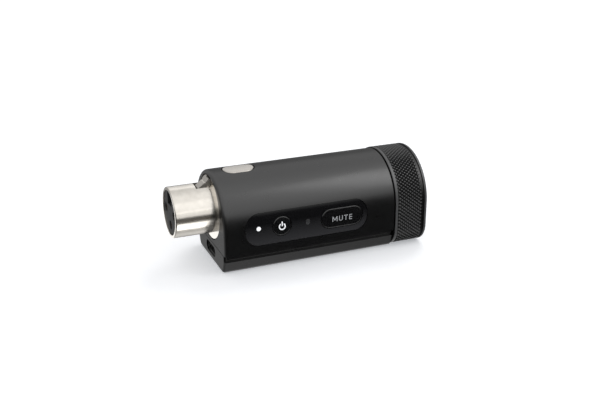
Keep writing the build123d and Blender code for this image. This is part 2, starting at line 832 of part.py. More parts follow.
def make_charge_flex():
    top = usb_z - usb_height / 2
    with BuildPart() as flex:
        slab(front_x + 12.2, front_x + 14.0, -board_in + 0.2, -5.0, top, top + 0.2)
        slab(front_x + 12.2, front_x + 14.0, -board_in, -board_in + 0.2, top, arch_z - board_low + 1)
    save(flex.part, "charge_flex")


# ---- Cell ---------------------------------------------------------------------------

def make_battery():
    with BuildPart() as battery:
        extrude(disc(cell_x + cell_nub, cell_r), amount=cell_end_x - cell_x - cell_nub)
        fillet(battery.edges().filter_by(GeomType.CIRCLE), 0.5)
        extrude(disc(cell_x, 3.0), amount=cell_nub)
    save(battery.part, "battery")


def make_battery_cradle():
    start_x = cell_x - 1.2
    end_x = back_x - neck_tail - 0.3
    foot_top = cell_z - sqrt(cradle_r ** 2 - 6.5 ** 2) + 0.3
    with BuildPart() as cradle:
        extrude(disc(start_x, cradle_r), amount=end_x - start_x)
        for x in (cell_x + 3, end_x - 5):
            for y in (-5.5, 5.5):
                slab(x, x + 2.5, y - 1, y + 1, floor_z, foot_top)
        for x, z in board_screw_places():
            slab(x - 1.3, x + 1.3, -board_in, -sqrt(cell_r ** 2 - 3 ** 2) - 0.4, z - 1.3, z + 1.3)
        extrude(disc(start_x + 0.7, cell_r + cradle_gap), amount=end_x - start_x, mode=Mode.SUBTRACT)
        with BuildSketch(side_plane(-board_in + 3)):
            with Locations(*board_screw_places()):
                Circle(0.5)
        extrude(amount=5, mode=Mode.SUBTRACT)
    save(cradle.part, "battery_cradle")


def make_front_contact():
    start_x = cell_x - 0.5
    with BuildPart() as contact:
        extrude(disc(start_x, 3.5), amount=0.25)
        extrude(disc(start_x, 1.5), amount=0.5)
    save(contact.part, "front_contact")


# ---- Collar, end plug and cap -------------------------------------------------------

def make_rear_collar():
    foot_half = tray_half - base_wall - 0.1
    key_half = key_t / 2 + 0.15
    with BuildPart() as collar:
        extrude(arch(collar_foot_x, wall + 0.1, skirt_z + 0.1), amount=collar_foot_t)
        slab(collar_foot_x, collar_foot_x + collar_foot_t, -foot_half, foot_half,
             floor_z + 0.05, skirt_z + 1)
        extrude(disc(back_x - neck_tail, neck_r), amount=neck_tail + neck_length)
        snap_groove = annulus(snap_x - 0.4, neck_r + 1, neck_r - 0.6)
        extrude(snap_groove, amount=3, mode=Mode.SUBTRACT)
        bore = disc(back_x - neck_tail - 1, bore_r)
        extrude(bore, amount=neck_tail + neck_length + 2, mode=Mode.SUBTRACT)
        slab(neck_x - spigot_length - 0.6, neck_x + 1, -key_half, key_half, cell_z + bore_r - 1,
             cell_z + bore_r + 0.45, mode=Mode.SUBTRACT)
        with BuildSketch(Plane.XY.offset(floor_z)):
            with Locations(*foot_places):
                Circle(screw_r)
        extrude(amount=screw_length, mode=Mode.SUBTRACT)
    save(collar.part, "rear_collar")


def make_end_plug():
    boss_length = cap_end_x - 0.3 - plug_x - plug_disc_t
    with BuildPart() as plug:
        extrude(disc(plug_x, plug_disc_r), amount=plug_disc_t)
        extrude(disc(plug_x + plug_disc_t, lip_r - 0.2), amount=boss_length)
        fillet(plug.edges().filter_by(GeomType.CIRCLE).sort_by(Axis.X)[-1], 0.4)
        extrude(disc(plug_x - spigot_length, plug_r), amount=spigot_length)
        extrude(annulus(plug_x - 2.6, plug_r + 1, plug_r - 2 * seal_r + 0.1), amount=2 * seal_r + 0.1,
                mode=Mode.SUBTRACT)
        extrude(disc(plug_x - spigot_length - 1, plug_r - 1.3), amount=spigot_length, mode=Mode.SUBTRACT)
        slab(plug_x - 1.6, plug_x, -key_t / 2, key_t / 2, cell_z + plug_r - 0.5, cell_z + plug_r + 0.45)
    save(plug.part, "end_plug")


def make_end_seal():
    with BuildPart() as seal:
        with BuildSketch(Plane.XZ):
            with Locations((plug_x - 2.6 + seal_r + 0.05, cell_z + plug_r - seal_r + 0.12)):
                Circle(seal_r)
        revolve(axis=Axis((0, 0, cell_z), (1, 0, 0)))
    save(seal.part, "end_seal")


def make_end_contact():
    seat_x = plug_x - 1.0
    height = seat_x - cell_end_x - 0.1
    spring = coil(3.2, 0.3, 3, height, (seat_x - height, 0, cell_z), (1, 0, 0))
    save(spring, "end_contact")


def make_retaining_ring():
    """Split ring in the neck's groove that grips the cap's bore."""
    with BuildPart() as snap:
        extrude(annulus(snap_x, neck_r + cap_clearance / 2, neck_r - 0.4), amount=snap_t)
        slab(snap_x - 1, neck_x, -2.5, 2.5, cell_z - neck_r - 2, cell_z, mode=Mode.SUBTRACT)
    save(snap.part, "retaining_ring")


def cap_outline(x, inset):
    """Arched section of the cap in the plane at x, set in from its skin by inset."""
    half = cap_r - inset
    shoulder_z = arch_z + cap_rise
    with BuildSketch(Plane.YZ.offset(x), mode=Mode.PRIVATE) as section:
        with BuildLine():
            Polyline((half, shoulder_z), (half, inset), (-half, inset), (-half, shoulder_z))
            ThreePointArc((-half, shoulder_z), (0, shoulder_z + half), (half, shoulder_z))
        make_face()
        fillet(section.vertices().group_by(Axis.Y)[0], cap_corner_r - inset)
    return section.sketch


def make_knurled_cap():
    groove_x = cap_end_x - cap_land
    with BuildPart() as cap:
        extrude(cap_outline(cap_x, 0), amount=cap_length)
        ends = cap.faces().sort_by(Axis.X)
        front_edges = ends[0].edges()
        back_edges = ends[-1].edges()
        chamfer(front_edges, cap_front_edge)
        fillet(back_edges, cap_back_edge_r)
        with BuildPart(mode=Mode.PRIVATE) as band:
            extrude(cap_outline(groove_x, -1), amount=cap_groove)
            extrude(cap_outline(groove_x, cap_groove_depth), amount=cap_groove, mode=Mode.SUBTRACT)
        add(band.part, mode=Mode.SUBTRACT)
        extrude(disc(cap_x - 1, neck_r + cap_clearance), amount=1 + lip_x - cap_x, mode=Mode.SUBTRACT)
        extrude(disc(cap_x, lip_r), amount=cap_length + 1, mode=Mode.SUBTRACT)
    save(cap.part, "knurled_cap")


# ---- Screws -------------------------------------------------------------------------

def make_base_screws():
    with BuildPart() as screws:
        with BuildSketch(Plane.XY.offset(head_seat_z)):
            with Locations(*screw_places):
                Circle(screw_head_r)
                RegularPolygon(0.55, 6, mode=Mode.SUBTRACT)
        extrude(amount=-screw_head_t)
        with BuildSketch(Plane.XY.offset(head_seat_z - 0.4)):
            with Locations(*screw_places):
                Circle(screw_r)
        extrude(amount=screw_length)
    save(screws.part, "base_screws")


def make_board_screws():
    with BuildPart() as screws:
        with BuildSketch(side_plane(-board_out)):
            with Locations(*board_screw_places()):
                Circle(1.1)
        extrude(amount=0.6)
        with BuildSketch(side_plane(-board_in + 0.4)):
            with Locations(*board_screw_places()):
                Circle(0.48)
        extrude(amount=board_t + 0.4)
    save(screws.part, "board_screws")


os.makedirs("parts", exist_ok=True)
make_housing()
make_base_cover()
make_strip(-1, "near_strip")
make_strip(1, "far_strip")
make_xlr_shell()
make_xlr_insert()
make_xlr_contacts()
make_shell_clip()
make_contact_board()
make_latch_lever()
make_latch_pin()
make_latch_bracket()
make_latch_spring()
make_release_button()
make_control_panel()
make_power_button()
make_power_symbol()
make_plunger(front_x + power_x, "power_plunger")
make_mute_button()
make_mute_lettering()
make_plunger(front_x + mute_x, "mute_plunger")
make_lenses()
make_main_board()
make_switch(front_x + power_x, "power_switch")
make_switch(front_x + mute_x, "mute_switch")
make_board_leds()
make_rf_shield()
make_board_chips()
make_antenna()
make_usb_shell()
make_usb_tongue()
make_usb_board()
make_audio_flex()
make_charge_flex()
make_battery()
make_battery_cradle()
make_front_contact()
make_rear_collar()
make_end_plug()
make_end_seal()
make_end_contact()
make_retaining_ring()
make_knurled_cap()
make_base_screws()
make_board_screws()
print(len(names), "nodes; length", round(cap_end_x - barrel_x, 2), "height", round(cap_top_z, 2))
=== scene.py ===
# %% [markdown]
# # A plug-on wireless microphone transmitter
#
# The object is a small black metal tube, 80 mm long, that plugs onto the end of a wired microphone.
# A nickel XLR barrel comes out of its front, two buttons sit in a gloss panel on its side, and a
# knurled cap closes its back. The measured parts arrive as a finished frame of separate nodes, all
# in metres and all in place. What is left for Blender is the look: light, finishes, and the few
# pieces whose surface is too fine for an engineering model, such as the knurl.

# %% Load the frame
from math import atan2, cos, pi, radians, sin, sqrt

import bmesh
import bpy
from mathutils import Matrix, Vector


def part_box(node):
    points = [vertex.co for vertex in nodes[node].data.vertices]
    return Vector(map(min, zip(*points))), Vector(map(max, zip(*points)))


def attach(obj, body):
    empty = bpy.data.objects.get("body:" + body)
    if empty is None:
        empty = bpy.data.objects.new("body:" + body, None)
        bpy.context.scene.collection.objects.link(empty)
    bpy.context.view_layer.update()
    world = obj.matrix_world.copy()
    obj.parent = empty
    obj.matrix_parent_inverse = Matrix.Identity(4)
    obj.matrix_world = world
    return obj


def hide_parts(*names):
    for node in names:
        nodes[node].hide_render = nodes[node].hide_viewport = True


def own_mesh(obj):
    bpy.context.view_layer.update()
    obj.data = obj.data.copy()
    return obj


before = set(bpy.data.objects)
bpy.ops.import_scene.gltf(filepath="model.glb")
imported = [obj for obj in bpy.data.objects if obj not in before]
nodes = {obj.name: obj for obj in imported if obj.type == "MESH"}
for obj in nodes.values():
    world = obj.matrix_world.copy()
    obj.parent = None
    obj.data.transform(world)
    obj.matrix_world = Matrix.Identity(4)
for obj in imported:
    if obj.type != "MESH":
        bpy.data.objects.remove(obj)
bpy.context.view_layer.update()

mm = 0.001

# %% [markdown]
# ## Landmarks
#
# Every new piece has to land on the metal that is already there. Rather than typing positions, we
# read them from the boxes of the nodes: the arch of the body, the barrel's axis, the cap's skin and
# the underside of the base. If a size changes in the model, everything here follows it.

# %% Read the landmarks
body_low, body_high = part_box("housing")
cap_low, cap_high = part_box("knurled_cap")
barrel_low, barrel_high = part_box("xlr_shell")
base_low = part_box("base_cover")[0]
arch_r = body_high.y
arch_z = body_high.z - arch_r
front_x = body_low.x
back_x = body_high.x
cap_r = cap_high.y
cap_arch_z = cap_high.z - cap_r
plug_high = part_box("end_plug")[1]
plug_r = plug_high.y
cell_z = plug_high.z - plug_r
barrel_z = barrel_low.z + barrel_high.y
print("arch radius", round(arch_r / mm, 2), "cap half width", round(cap_r / mm, 2))

# %% [markdown]
# ## Camera
#
# A product like this is usually taken with a longish lens from a little above, turned so that the
# front, the side and the top all show. The camera is placed on a sphere round a point inside the
# body: two angles and a distance say everything, and they are easy to change one at a time.

# %% Place the camera
aim_along = 29.927 * mm
aim_above = 1.242 * mm
aim = Vector((front_x + aim_along, 0, arch_z + aim_above))
camera_distance = 288.24 * mm
camera_turn = radians(22.363)
camera_rise = radians(21.455)
camera_lens = 54.457

toward_camera = Vector((
    -sin(camera_turn) * cos(camera_rise),
    -cos(camera_turn) * cos(camera_rise),
    sin(camera_rise),
))
camera_data = bpy.data.cameras.new("camera")
camera_data.lens = camera_lens
camera_data.clip_start = 0.005
camera = bpy.data.objects.new("camera", camera_data)
camera.location = aim + toward_camera * camera_distance
camera.rotation_euler = (-toward_camera).to_track_quat("-Z", "Y").to_euler()
bpy.context.scene.collection.objects.link(camera)
bpy.context.scene.camera = camera
print("camera at", [round(v / mm, 1) for v in camera.location])

# %% [markdown]
# ## The table
#
# The cap hangs a hair lower than the base, so the transmitter rests on the front edge of the base
# and on the underside of the cap. The table is therefore a plane through those two lines. A big disc
# is enough, and it gets its finish further on. It is hidden from glossy rays, because the black
# metal should show the dark room in front of the table and not the table itself.

# %% Lay the table
table_radius = 6.0
table_gap = 0.02 * mm
lean_x = cap_low.x - front_x
lean = atan2(base_low.z - cap_low.z, lean_x)
table_mesh = bpy.data.meshes.new("table")
table = bpy.data.objects.new("table", table_mesh)
bpy.context.scene.collection.objects.link(table)
table_form = bmesh.new()
bmesh.ops.create_circle(table_form, cap_ends=True, radius=table_radius, segments=96)
table_form.to_mesh(table_mesh)
table_form.free()
table.location = (cap_low.x, 0, cap_low.z - table_gap)
table.rotation_euler = (0, lean, 0)
table.visible_glossy = False
print("table tilted by", round(lean * 180 / pi, 2), "degrees")

# %% [markdown]
# ## Finishes: one recipe
#
# Nearly every finish here is a Principled shader with a little unevenness: the roughness wanders by
# a few hundredths and a fine noise tilts the surface. Texture coordinates are the object's own
# metres, so a grain of 0.1 mm is a scale of 10000. Values that are the same all over go straight
# onto the shader's socket, and only what varies is linked.

# %% The finish recipe
def noise_node(tree, scale, detail=3.0, stretch=(1, 1, 1)):
    """Noise in the object's own metres, squeezed along each axis by stretch."""
    place = tree.nodes.new("ShaderNodeTexCoord")
    mapping = tree.nodes.new("ShaderNodeMapping")
    mapping.inputs["Scale"].default_value = stretch
    noise = tree.nodes.new("ShaderNodeTexNoise")
    noise.inputs["Scale"].default_value = scale
    noise.inputs["Detail"].default_value = detail
    tree.links.new(place.outputs["Object"], mapping.inputs["Vector"])
    tree.links.new(mapping.outputs["Vector"], noise.inputs["Vector"])
    return noise.outputs["Fac"]


def ranged(tree, value, low, high):
    """A 0 to 1 pattern stretched to run from low to high."""
    span = tree.nodes.new("ShaderNodeMapRange")
    span.inputs["From Min"].default_value = 0.3
    span.inputs["From Max"].default_value = 0.7
    span.inputs["To Min"].default_value = low
    span.inputs["To Max"].default_value = high
    tree.links.new(value, span.inputs["Value"])
    return span.outputs["Result"]


def two_tone(tree, value, dark, light):
    """Colours from dark to light along a 0 to 1 pattern."""
    ramp = tree.nodes.new("ShaderNodeValToRGB")
    ramp.color_ramp.elements[0].position = 0.3
    ramp.color_ramp.elements[0].color = (*dark, 1)
    ramp.color_ramp.elements[1].position = 0.7
    ramp.color_ramp.elements[1].color = (*light, 1)
    tree.links.new(value, ramp.inputs["Fac"])
    return ramp.outputs["Color"]


def finish(name, dark, light, rough, metal=0.0, grain=9000, depth=0.002, patch=400,
           stretch=(1, 1, 1), specular=0.5):
    """A finish with uneven colour and roughness and a fine grain. Depth is in millimetres."""
    material = bpy.data.materials.new(name)
    material.use_nodes = True
    tree = material.node_tree
    shader = tree.nodes["Principled BSDF"]
    shader.inputs["Metallic"].default_value = metal
    shader.inputs["Specular IOR Level"].default_value = specular
    patches = noise_node(tree, patch)
    tree.links.new(two_tone(tree, patches, dark, light), shader.inputs["Base Color"])
    tree.links.new(ranged(tree, patches, rough[0], rough[1]), shader.inputs["Roughness"])
    bump = tree.nodes.new("ShaderNodeBump")
    bump.inputs["Strength"].default_value = 1.0
    bump.inputs["Distance"].default_value = depth * mm
    tree.links.new(noise_node(tree, grain, 2.0, stretch), bump.inputs["Height"])
    tree.links.new(bump.outputs["Normal"], shader.inputs["Normal"])
    return material


def dress(material, *names):
    """Give a CAD node its finish."""
    for name in names:
        nodes[name].data.materials.clear()
        nodes[name].data.materials.append(material)


finishes = {}
print("the recipe is ready, with", len(finishes), "finishes so far")

# %% [markdown]
# ## Black metal
#
# The housing and base are aluminium, blasted with fine beads and anodised black. The blasting leaves
# a satin skin that spreads a highlight into a wide soft band, so the roughness is middling and the
# grain is very shallow. The knurled cap has the same skin, with a painted highlight on its crests and
# painted shade in its valleys, and the collar inside it is a plain dark moulding.

# %% Black metal finishes
finishes["satin_black"] = finish(
    "satin_black", (0.0030, 0.0030, 0.0032), (0.0042, 0.0042, 0.0044), (0.27, 0.31),
    grain=7000, depth=0.0006, patch=260, specular=1.0)
finishes["collar_black"] = finish(
    "collar_black", (0.006, 0.006, 0.006), (0.01, 0.01, 0.01), (0.36, 0.46), grain=5000, depth=0.001)
finishes["strip_black"] = finish(
    "strip_black", (0.004, 0.004, 0.004), (0.007, 0.007, 0.007), (0.42, 0.5), grain=6000, depth=0.001)
finishes["knurl_black"] = finish(
    "knurl_black", (0.004, 0.004, 0.0042), (0.006, 0.006, 0.0062), (0.3, 0.36), grain=8000, depth=0.0008,
    specular=0.8)
finishes["screw_black"] = finish(
    "screw_black", (0.01, 0.01, 0.01), (0.018, 0.018, 0.018), (0.3, 0.42), metal=0.6, depth=0.001)
print("finishes:", len(finishes))

# %% [markdown]
# ## Bright metal
#
# The XLR barrel is turned brass under nickel plate. Nickel is slightly warm and darker than silver.
# Turning leaves rings round the axis: noise that is squeezed along the axis and stretched across it
# gives exactly those. The latch and the release button are rolled strip with a fine even grain, so
# they look softer than the barrel.

# %% Bright metal finishes
nickel_dark = (0.66, 0.625, 0.57)
nickel_light = (0.74, 0.705, 0.65)
finishes["nickel"] = finish(
    "nickel", nickel_dark, nickel_light, (0.19, 0.24), metal=1.0,
    grain=1.0, depth=0.0006, patch=500, stretch=(16000, 260, 260))
finishes["nickel_satin"] = finish(
    "nickel_satin", (0.44, 0.42, 0.39), (0.60, 0.57, 0.53), (0.3, 0.38), metal=1.0,
    grain=6500, depth=0.004, patch=5200)
finishes["steel"] = finish(
    "steel", (0.45, 0.45, 0.45), (0.56, 0.56, 0.55), (0.24, 0.34), metal=1.0, grain=5000, depth=0.001)
finishes["switch_steel"] = finish(
    "switch_steel", (0.5, 0.5, 0.5), (0.6, 0.6, 0.6), (0.3, 0.4), metal=1.0, depth=0.001)
finishes["tin"] = finish(
    "tin", (0.55, 0.55, 0.54), (0.68, 0.68, 0.66), (0.32, 0.46), metal=1.0, patch=900, depth=0.002)
finishes["gold"] = finish(
    "gold", (0.72, 0.5, 0.19), (0.86, 0.62, 0.27), (0.18, 0.28), metal=1.0, grain=4000, depth=0.001)
finishes["copper"] = finish(
    "copper", (0.62, 0.3, 0.16), (0.74, 0.38, 0.22), (0.3, 0.42), metal=1.0, depth=0.001)
print("finishes:", len(finishes))

# %% [markdown]
# ## Plastics, lights and marks
#
# The side panel and its buttons are polished black plastic: much smoother than the metal round it,
# so it shows a clear dark reflection with soft waviness from moulding. It's a little smoky, and its
# colour is painted paler towards its lower edge: a painted reflection of the table. The word on the
# mute button is printed in grey. The power symbol and the status light are lit from behind, so those
# two give off a little light of their own.

# %% Plastic finishes
finishes["panel_gloss"] = finish(
    "panel_gloss", (0.004, 0.004, 0.0045), (0.006, 0.006, 0.0065), (0.1, 0.15),
    grain=900, depth=0.002, patch=300)
finishes["button_gloss"] = finish(
    "button_gloss", (0.003, 0.003, 0.0033), (0.0045, 0.0045, 0.005), (0.16, 0.22),
    grain=1500, depth=0.0015, patch=400, specular=0.9)
finishes["carrier_black"] = finish(
    "carrier_black", (0.018, 0.018, 0.019), (0.028, 0.028, 0.029), (0.42, 0.55),
    grain=5200, depth=0.004, patch=1200)
finishes["plunger_brown"] = finish(
    "plunger_brown", (0.1, 0.05, 0.03), (0.15, 0.08, 0.05), (0.4, 0.5))
finishes["chip_black"] = finish(
    "chip_black", (0.012, 0.012, 0.013), (0.022, 0.022, 0.024), (0.45, 0.6), grain=9000, depth=0.004)
finishes["cell_wrap"] = finish(
    "cell_wrap", (0.03, 0.09, 0.16), (0.04, 0.12, 0.21), (0.2, 0.3), grain=700, depth=0.01)
finishes["cradle_grey"] = finish(
    "cradle_grey", (0.11, 0.11, 0.115), (0.15, 0.15, 0.155), (0.45, 0.6), depth=0.004)
finishes["seal_rubber"] = finish(
    "seal_rubber", (0.015, 0.014, 0.013), (0.025, 0.024, 0.022), (0.55, 0.7), depth=0.003)
finishes["board_green"] = finish(
    "board_green", (0.005, 0.05, 0.022), (0.01, 0.085, 0.035), (0.25, 0.4), grain=3000, patch=1500)
finishes["flex_amber"] = finish(
    "flex_amber", (0.28, 0.12, 0.02), (0.4, 0.18, 0.04), (0.25, 0.35), grain=2500)
finishes["mark_white"] = finish(
    "mark_white", (0.72, 0.73, 0.74), (0.82, 0.83, 0.84), (0.4, 0.5), depth=0.001)
finishes["mark_grey"] = finish(
    "mark_grey", (0.30, 0.31, 0.32), (0.40, 0.41, 0.42), (0.4, 0.5), grain=12000, depth=0.002, patch=2600)
finishes["light_white"] = finish(
    "light_white", (0.8, 0.81, 0.82), (0.88, 0.89, 0.9), (0.25, 0.35), depth=0.001)
finishes["light_grey"] = finish(
    "light_grey", (0.025, 0.025, 0.026), (0.045, 0.045, 0.047), (0.2, 0.3), grain=4000, patch=2400)


def paint_reflection_down(material, top, bottom, top_z, bottom_z):
    """Paint a reflection into the finish's colour, changing from the top of a panel to its bottom edge."""
    tree = material.node_tree
    place = tree.nodes.new("ShaderNodeTexCoord")
    parts = tree.nodes.new("ShaderNodeSeparateXYZ")
    span = tree.nodes.new("ShaderNodeMapRange")
    span.inputs["From Min"].default_value = bottom_z
    span.inputs["From Max"].default_value = top_z
    ramp = tree.nodes.new("ShaderNodeValToRGB")
    ramp.color_ramp.elements[0].color = (*bottom, 1)
    ramp.color_ramp.elements[1].color = (*top, 1)
    tree.links.new(place.outputs["Object"], parts.inputs["Vector"])
    tree.links.new(parts.outputs["Z"], span.inputs["Value"])
    tree.links.new(span.outputs["Result"], ramp.inputs["Fac"])
    tree.links.new(ramp.outputs["Color"], tree.nodes["Principled BSDF"].inputs["Base Color"])


def glow(material, strength):
    """Light the finish from behind."""
    shader = material.node_tree.nodes["Principled BSDF"]
    shader.inputs["Emission Color"].default_value = (0.93, 0.96, 1.0, 1)
    shader.inputs["Emission Strength"].default_value = strength


# The panel's base colour is painted paler towards its bottom edge: a painted reflection of the table.
panel_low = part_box("control_panel")[0]
reflection_rise = 1.5 * mm
paint_reflection_down(
    finishes["panel_gloss"], (0.004, 0.004, 0.0045), (0.03, 0.03, 0.032),
    arch_z + reflection_rise, panel_low.z)
glow(finishes["mark_white"], 0.25)
glow(finishes["light_white"], 0.3)
print("finishes:", len(finishes))

# %% [markdown]
# ## Dressing the measured parts
#
# Each node says in the record which material slot it belongs to. One loop reads that and puts the
# finish of the same name on it, so no part of the model is left with a plain colour, inside or out.

# %% Dress the nodes
for name, node in nodes.items():
    wanted = node.data.materials[0].name.split(".")[0]
    dress(finishes[wanted], name)
print(len(finishes), "finishes on", len(nodes), "nodes")

# %% [markdown]
# ## The knurled cap
#
# A knurl is pressed by two wheels whose ridges lean opposite ways, which leaves rows of small
# pyramids. It could be faked with a bump map, but the outline would stay smooth and the grooves would
# not go dark. So it is made in mesh. The cap has the body's own section: an arch, two flat sides and a
# flat underside with round corners. We walk round that section in equal steps, and make a grid where
# every second crossing is a valley and every other one is a flat-topped pyramid. The plain bands,
# the groove and the bore have the same number of points, so the whole piece is one closed skin.

# %% Walk round the cap's section
pyramids_round = 86
row_height = 0.75 * mm
knurl_depth = 0.42 * mm
crest_share = 0.3
corner_r = 6.8 * mm
front_band = 0.95 * mm
rear_band = 1.55 * mm
groove_width = 0.55 * mm
groove_depth = 0.45 * mm
groove_slope = 0.08 * mm
rim_round = 0.6 * mm
front_round = 0.22 * mm
band_slope = 0.1 * mm
bore_gap = 0.2 * mm
mouth_step = 1.5 * mm
mouth_bevel = 0.25 * mm
lip_depth = 2.1 * mm
columns = 2 * pyramids_round


def section_runs():
    """The cap's half section from the top down: (length, point and outward direction at a share)."""
    side = cap_arch_z - cap_low.z - corner_r
    flat = cap_r - corner_r

    def on_arch(share):
        turn = share * pi / 2
        return (cap_r * sin(turn), cap_arch_z + cap_r * cos(turn)), (sin(turn), cos(turn))

    def on_side(share):
        return (cap_r, cap_arch_z - share * side), (1, 0)

    def on_corner(share):
        turn = share * pi / 2
        out_y, out_z = cos(turn), -sin(turn)
        return (flat + corner_r * out_y, cap_low.z + corner_r + corner_r * out_z), (out_y, out_z)

    def on_flat(share):
        return (flat * (1 - share), cap_low.z), (0, -1)

    return [(cap_r * pi / 2, on_arch), (side, on_side), (corner_r * pi / 2, on_corner), (flat, on_flat)]


runs = section_runs()
half_round = sum(length for length, _ in runs)


def walk(turn):
    """Point and outward direction on the cap's skin, turn in columns from the top."""
    way = (turn % columns) / columns * 2
    side = 1
    if way > 1:
        way = 2 - way
        side = -1
    left = way * half_round
    for length, place in runs:
        if left <= length:
            break
        left -= length
    (y, z), (out_y, out_z) = place(min(left / length, 1))
    return side * y, z, side * out_y, out_z


def cap_point(x, inset, turn):
    """A point of the cap at x, set in from its skin."""
    y, z, out_y, out_z = walk(turn)
    return (x, y - inset * out_y, z - inset * out_z)


def bore_point(x, radius, turn):
    """A point of the cap's round bore at x."""
    y, z, _, _ = walk(turn)
    toward = Vector((y, z - cell_z)).normalized()
    return (x, radius * toward.x, cell_z + radius * toward.y)


pitch = 2 * half_round / pyramids_round
print("way round the cap", round(2 * half_round / mm, 1), "mm, pitch", round(pitch / mm, 2))

# %% [markdown]
# Now the skin itself: the knurl first, then a chain of closed loops that runs from the last row of
# valleys over the groove, the rounded back edge, the mouth, the bore and the front band, and back to
# the first row.

# %% Build the knurled cap
def rounded(x, inset, size, start, end, steps=5):
    """Profile points round a corner whose arc centre is (x, inset)."""
    turns = [start + (end - start) * k / steps for k in range(steps + 1)]
    return [(x + size * sin(radians(t)), inset - size * cos(radians(t))) for t in turns]


def press_knurl(form, knurl_start, row_step, rows):
    """Make the pyramids, and return the first and the last row of valleys."""
    def crest_at(column, row):
        return form.verts.new(cap_point(knurl_start + row * row_step, 0, column))

    valleys = {}
    for j in range(rows + 1):
        for i in range(columns):
            if (i + j) % 2 == 0 or j in (0, rows):
                valleys[i, j] = form.verts.new(cap_point(knurl_start + j * row_step, knurl_depth, i))
    for j in range(1, rows):
        for i in range(columns):
            if (i + j) % 2 == 0:
                continue
            around = [((i + 1) % columns, j), (i, j + 1), ((i - 1) % columns, j), (i, j - 1)]
            steps = ((1, 0), (0, 1), (-1, 0), (0, -1))
            crest = [crest_at(i + a * crest_share, j + b * crest_share) for a, b in steps]
            form.faces.new(crest)
            for k in range(4):
                corner, nearby = valleys[around[k]], valleys[around[k - 1]]
                form.faces.new((nearby, corner, crest[k], crest[k - 1]))
    for j, inner in ((0, 1), (rows, rows - 1)):
        for i in range(columns):
            if (i, inner) in valleys:
                left, right = valleys[(i - 1) % columns, j], valleys[(i + 1) % columns, j]
                form.faces.new((left, valleys[i, j], valleys[i, inner]))
                form.faces.new((valleys[i, j], right, valleys[i, inner]))
    return [valleys[i, 0] for i in range(columns)], [valleys[i, rows] for i in range(columns)]


def piece_from(form, name):
    """Turn a finished form into an object in the scene."""
    bmesh.ops.recalc_face_normals(form, faces=form.faces)
    mesh = bpy.data.meshes.new(name)
    form.to_mesh(mesh)
    form.free()
    piece = bpy.data.objects.new(name, mesh)
    bpy.context.scene.collection.objects.link(piece)
    return piece


def make_knurled_cap():
    """The whole cap as one closed skin: knurl, groove, back edge, mouth, bore and front band."""
    knurl_start = cap_low.x + front_band
    groove_start = cap_high.x - rear_band
    groove_end = groove_start + groove_width
    bore_r = plug_r + bore_gap
    mouth_r = bore_r - mouth_step
    lip_x = cap_high.x - lip_depth
    rows = 2 * round((groove_start - knurl_start) / row_height / 2)
    row_step = (groove_start - knurl_start) / rows
    form = bmesh.new()

    def loop(x, inset):
        return [form.verts.new(cap_point(x, inset, i)) for i in range(columns)]

    def ring(x, radius):
        return [form.verts.new(bore_point(x, radius, i)) for i in range(columns)]

    first_row, last_row = press_knurl(form, knurl_start, row_step, rows)
    outside = [(groove_start, groove_depth), (groove_end, groove_depth), (groove_end + groove_slope, 0)]
    outside += rounded(cap_high.x - rim_round, rim_round, rim_round, 0, 90)
    inside = [
        (cap_high.x, mouth_r + mouth_bevel), (cap_high.x - mouth_bevel, mouth_r), (lip_x, mouth_r),
        (lip_x, bore_r), (cap_low.x, bore_r)]
    band = rounded(cap_low.x + front_round, front_round, front_round, -90, 0)
    band.append((knurl_start - band_slope, 0))
    chain = [last_row] + [loop(x, inset) for x, inset in outside]
    chain += [ring(x, radius) for x, radius in inside]
    chain += [loop(x, inset) for x, inset in band] + [first_row]
    for first, second in zip(chain, chain[1:]):
        for i in range(columns):
            form.faces.new((first[i - 1], first[i], second[i], second[i - 1]))
    return piece_from(form, "knurled_grip")


grip = make_knurled_cap()
print("knurl faces", len(grip.data.polygons), "plug radius", round(plug_r / mm, 2))

# %% [markdown]
# The crests of the knurl are painted lighter and its valleys darker: a painted highlight on the crests
# and painted shade in the grooves. A value kept at each point of the mesh says how near the skin it
# lies, and the finish reads it, so the painted light follows the mesh exactly.

# %% Finish the knurl
def mark_crests(piece):
    """Keep how near the skin each point lies, 1 on the skin and 0 at the valleys' depth."""
    tone = piece.data.attributes.new("crest", "FLOAT", "POINT")
    for point in piece.data.vertices:
        y, z = point.co.y, point.co.z
        if z > cap_arch_z:
            inset = cap_r - sqrt(y ** 2 + (z - cap_arch_z) ** 2)
        elif z < cap_low.z + corner_r and abs(y) > cap_r - corner_r:
            inset = corner_r - sqrt((abs(y) - cap_r + corner_r) ** 2 + (z - cap_low.z - corner_r) ** 2)
        else:
            inset = min(cap_r - abs(y), z - cap_low.z)
        tone.data[point.index].value = 1 - min(max(inset / knurl_depth, 0), 1)


def paint_knurl_light_and_shade(material):
    """Paint a highlight onto the knurl's crests and shade into its valleys."""
    tree = material.node_tree
    shader = tree.nodes["Principled BSDF"]
    crest = tree.nodes.new("ShaderNodeAttribute")
    crest.attribute_name = "crest"
    ramp = tree.nodes.new("ShaderNodeValToRGB")
    ramp.color_ramp.elements[0].position = 0.5
    # Painted shade in the valleys, painted highlight on the crests.
    ramp.color_ramp.elements[0].color = (0.003, 0.003, 0.0032, 1)
    ramp.color_ramp.elements[1].color = (0.06, 0.06, 0.061, 1)
    tree.links.new(crest.outputs["Fac"], ramp.inputs["Fac"])
    tree.links.new(ramp.outputs["Color"], shader.inputs["Base Color"])


mark_crests(grip)
paint_knurl_light_and_shade(finishes["knurl_black"])
grip.data.materials.append(finishes["knurl_black"])
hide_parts("knurled_cap")
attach(grip, "cap")
print(grip.name, "has its crests marked at", len(grip.data.vertices), "points")

